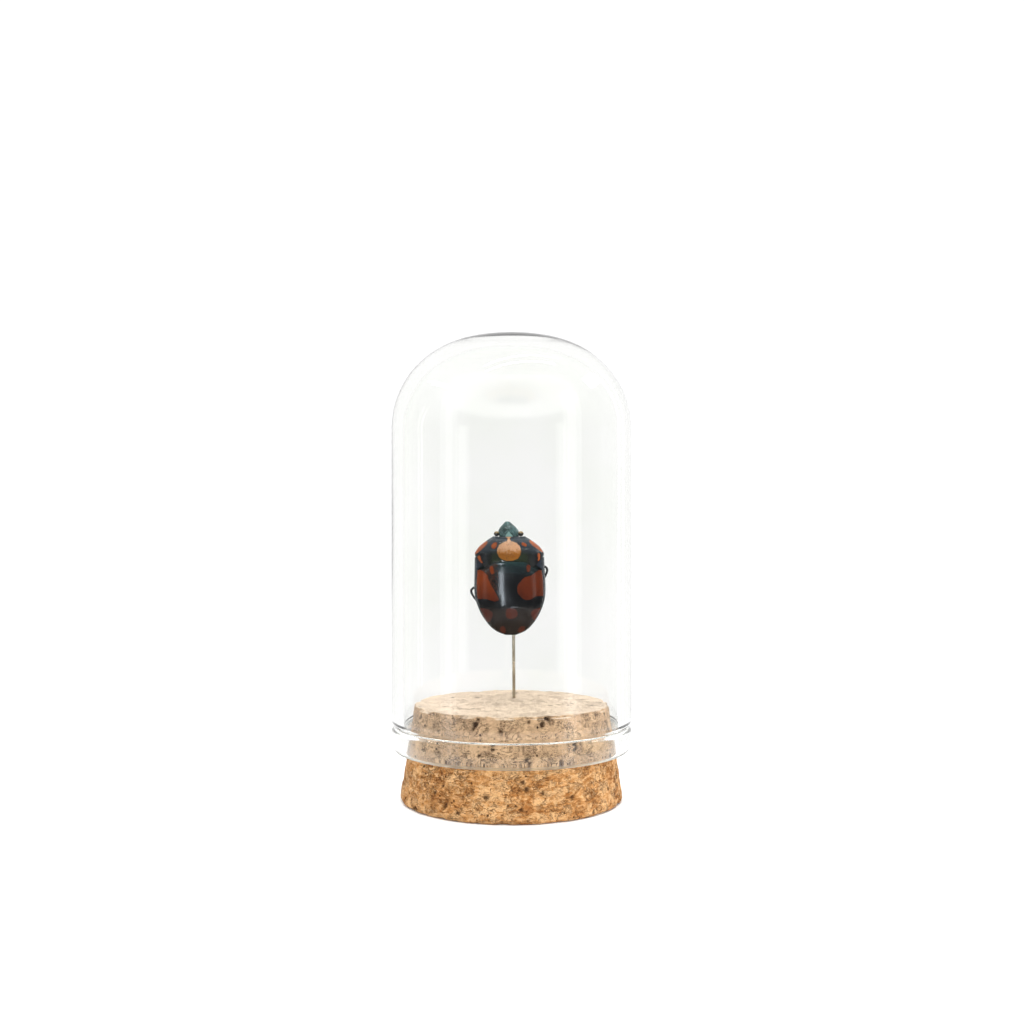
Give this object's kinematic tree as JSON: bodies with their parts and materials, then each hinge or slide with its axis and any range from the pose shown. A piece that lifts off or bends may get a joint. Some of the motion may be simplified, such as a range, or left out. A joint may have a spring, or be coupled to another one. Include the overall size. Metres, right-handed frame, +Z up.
{
  "type": "pinned bug in a glass dome",
  "caption": "Small glass dome pressed over a tapered cork that holds a dried shield-backed bug upright on a steel pin.",
  "frame": {"origin": "centre of the cork's flat underside", "axes": "+Z up the dome, -Y out of the bug's back towards the viewer, +X to the viewer's right"},
  "size_m": [0.037, 0.037, 0.0712],
  "materials": {
    "cork": "raw pressed cork granules",
    "dome_glass": "clear, blown",
    "pin_steel": "bright drawn wire",
    "bug_shell": "glossy punctured cuticle, blue-black with orange patches",
    "bug_head": "satin green-black cuticle",
    "bug_eyes": "glossy brown facets",
    "bug_limbs": "satin blue-black cuticle",
    "bug_wings": "satin leathery cuticle",
    "bug_underside": "satin blue-black cuticle"
  },
  "bodies": {
    "root": {"cork_base": "cork", "glass_dome": "dome_glass", "insect_pin": "pin_steel", "head": "bug_head", "left_eye": "bug_eyes", "right_eye": "bug_eyes", "beak": "bug_limbs", "left_antenna": "bug_limbs", "right_antenna": "bug_limbs", "pronotum": "bug_shell", "scutellum": "bug_shell", "left_forewing": "bug_wings", "right_forewing": "bug_wings", "thorax": "bug_underside", "abdomen": "bug_underside", "left_foreleg": "bug_limbs", "right_foreleg": "bug_limbs", "left_midleg": "bug_limbs", "right_midleg": "bug_limbs", "left_hindleg": "bug_limbs", "right_hindleg": "bug_limbs"}
  },
  "joints": []
}
